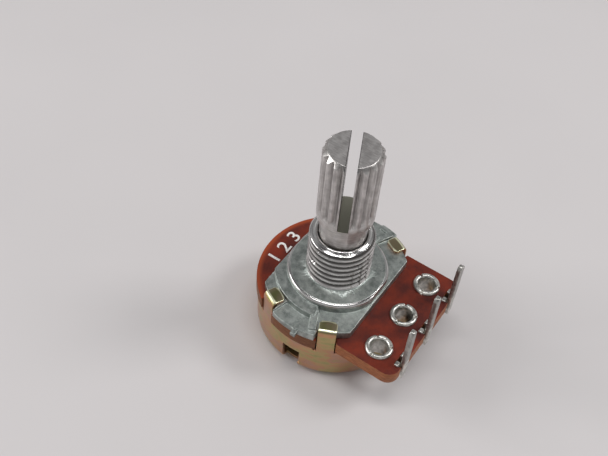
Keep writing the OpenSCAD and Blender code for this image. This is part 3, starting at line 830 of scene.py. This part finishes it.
def makeBoard():
    piece = copyNode("terminal_board", "phenolic_board")
    soften(piece, board["edge"], angle=50)
    smooth(piece, 30)
    fit(piece, "terminal_board", "housing", "phenolic")
    print("board made:", len(piece.data.polygons), "faces")


makeBoard()


# Terminals: the CAD's strips, with rounded edges
strips = {"count": 3, "edge": 0.08}


def makeTerminals():
    for index in range(1, strips["count"] + 1):
        piece = copyNode(f"terminal_{index}", f"pin_strip_{index}")
        soften(piece, strips["edge"], angle=30)
        smooth(piece, 40)
        fit(piece, f"terminal_{index}", "housing", "tinned_brass")
    print("terminals made:", strips["count"])


makeTerminals()


# Eyelets: turned rivets, rolled over on the board, where the rim splits at the angles given
eyelet = {
    "columns": 96, "bore": 0.93, "tube": 1.15, "rim": 1.5, "footThick": 0.2, "rimHeight": 0.34,
    "rimRows": 8, "rimLift": 0.03, "rimTuck": 0.04, "edge": 0.03,
    "splits": {1: (-62, 175, 38), 2: (-70, 178, 20), 3: (-78, 186, 60)}, "splitHalf": 4,
    "splitDraw": 0.85, "splitDrop": 0.3,
}


def makeEyelets():
    e = eyelet
    top = boardHigh.z
    curl = (e["rim"] - e["bore"]) / 2
    for index, splits in e["splits"].items():
        low, high = nodeBox(f"eyelet_{index}")
        centre = ((low + high) / 2).xy
        flange = low.z + e["footThick"]
        profile = [(e["bore"], low.z), (e["rim"], low.z), (e["rim"], flange), (e["tube"], flange),
                   (e["tube"], top), (e["rim"] - e["rimTuck"], top)]
        for row in range(e["rimRows"] + 1):
            angle = math.radians(180 * row / e["rimRows"])
            rising = (e["rimHeight"] - e["rimLift"]) * math.sin(angle)
            profile.append((e["bore"] + curl + curl * math.cos(angle), top + e["rimLift"] + rising))
        profile.append((e["bore"], low.z))
        piece = turn(f"rivet_{index}", e["columns"], profile, centre)
        closeEnds(piece)
        startEdit(piece)
        for split in splits:
            openSplit(centre, split)
        endEdit()
        soften(piece, e["edge"], angle=50)
        smooth(piece, 40)
        fit(piece, f"eyelet_{index}", "housing", "tinned_brass")
    print("eyelets made:", len(e["splits"]))


def openSplit(centre, angle):
    # One crack in the rolled rim: its outer half is drawn in to the tube and down
    e = eyelet
    heading = outwardsAt(angle).xy

    def inSplit(place, normal):
        out = place.xy - centre
        return (place.z > boardHigh.z + 0.02 and out.length > e["tube"] - 0.05
                and out.normalized().dot(heading) > math.cos(math.radians(e["splitHalf"])))

    choose("VERT", inSplit)
    bpy.ops.transform.resize(value=(e["splitDraw"], e["splitDraw"], e["splitDrop"]),
                             center_override=(*(centre * mm), boardHigh.z * mm))


makeEyelets()


# Printed digits: plain numbers where the board carries its printing
digits = {
    "text": "1 2 3", "place": (0.1, 6.25), "height": 1.55, "width": 4.4, "thick": 0.02,
    "relief": 0.02, "weight": 0.008,
}


def makeDigits():
    d = digits
    bpy.ops.object.select_all(action="DESELECT")
    bpy.ops.object.text_add()
    piece = bpy.context.object
    piece.name = "printed_digits"
    piece.data.body = d["text"]
    piece.data.align_x = "CENTER"
    piece.data.extrude = d["relief"]
    piece.data.offset = d["weight"]
    bpy.ops.object.convert(target="MESH")
    piece = bpy.context.object
    low = [min(vertex.co[axis] for vertex in piece.data.vertices) for axis in range(3)]
    high = [max(vertex.co[axis] for vertex in piece.data.vertices) for axis in range(3)]
    startEdit(piece)
    bpy.ops.mesh.select_all(action="SELECT")
    bpy.ops.mesh.remove_doubles(threshold=0.0001)
    bpy.ops.transform.translate(value=(-(low[0] + high[0]) / 2, -low[1], -low[2]))
    wanted = (d["width"], d["height"], d["thick"])
    scale = [mm * wanted[axis] / (high[axis] - low[axis]) for axis in range(3)]
    bpy.ops.transform.resize(value=scale, center_override=(0, 0, 0))
    move(*d["place"], boardHigh.z - d["thick"] / 4)
    endEdit()
    fit(piece, None, "housing", "silver_film")
    # It rides in a slot that the record has, and shows white ink
    piece.data.materials[0] = finishes["white_ink"]
    print("digits made:", d["text"])


makeDigits()


# Studio: a floor, soft lamps and a pale surround, with sizes in metres
studio = {
    "floorSize": 1.2, "fade": (0.13, 0.5), "floorColour": (0.62, 0.592, 0.592), "mottle": 0.97,
    "floorRoughness": 0.6, "surround": (0.66, 0.635, 0.615),
    "room": [(0.0, (0.3, 0.3, 0.3)), (0.5, (0.62, 0.62, 0.62)), (0.66, (0.5, 0.5, 0.5)),
             (0.8, (0.33, 0.33, 0.335)), (0.89, (0.29, 0.29, 0.295)), (0.95, (0.11, 0.11, 0.115)),
             (1.0, (0.07, 0.07, 0.075))],
    "aim": (0, 0, 0.01),
    "lamps": [
        {"name": "overheadLamp", "place": (-0.01, 0.0, 0.50), "size": (0.34, 0.08), "power": 0.80,
         "turn": 30.8},
        {"name": "rightLamp", "place": (0.22, -0.26, 0.37), "size": (0.14, 0.14), "power": 0.80,
         "turn": 0},
        {"name": "leftWindow", "place": (-0.20, 0.38, 0.24), "size": (0.26, 0.16), "power": 0.90,
         "turn": 0},
    ],
}


def makeFloor():
    bpy.ops.mesh.primitive_plane_add(size=studio["floorSize"])
    floor = bpy.context.object
    floor.name = "floor"
    material, start, place = startMaterial("paleTable")
    clouds = noise(start, place, 40, detail=3)
    darker = [share * studio["mottle"] for share in studio["floorColour"]]
    shade = clouds.smooth(0.3, 0.7).mix(darker, studio["floorColour"])
    # Far out, where the lamps don't reach, it fades into the surround
    distance = start.add("ShaderNodeVectorMath", {"operation": "LENGTH"}, {0: place}, output=1)
    far = distance.smooth(*studio["fade"])
    values = {"Base Color": far.mix(shade, (0, 0, 0)), "Roughness": studio["floorRoughness"],
              "Emission Color": far.mix((0, 0, 0), studio["surround"]), "Emission Strength": 1.0}
    floor.data.materials.append(endMaterial(material, start, values))


def makeSurround():
    # A plain room: pale near the horizon, darker overhead, so that metal has something to show
    world = bpy.data.worlds.new("surround")
    bpy.context.scene.world = world
    world.use_nodes = True
    tree = world.node_tree
    tree.nodes.clear()
    start = Wire(tree)
    height = split(start, start.add("ShaderNodeTexCoord", output="Generated"))[2]
    room = start.add("ShaderNodeValToRGB", {"stops": studio["room"]}, {0: height * 0.5 + 0.5})
    seen = start.add("ShaderNodeLightPath", output="Is Camera Ray")
    colour = seen.mix(room, studio["surround"])
    background = start.add("ShaderNodeBackground", values={"Color": colour})
    end = tree.nodes.new("ShaderNodeOutputWorld")
    tree.links.new(background.socket, end.inputs["Surface"])


def makeLamps():
    for lamp in studio["lamps"]:
        bpy.ops.object.light_add(type="AREA", location=lamp["place"])
        light = bpy.context.object
        light.name = lamp["name"]
        light.data.shape = "RECTANGLE"
        light.data.size, light.data.size_y = lamp["size"]
        light.data.energy = lamp["power"]
        aim = Vector(studio["aim"]) - Vector(lamp["place"])
        light.rotation_euler = aim.to_track_quat("-Z", "Y").to_euler()
        light.rotation_euler.z += math.radians(lamp["turn"])


makeFloor()
makeSurround()
makeLamps()
bpy.context.scene.view_settings.view_transform = "Standard"
print("studio ready")
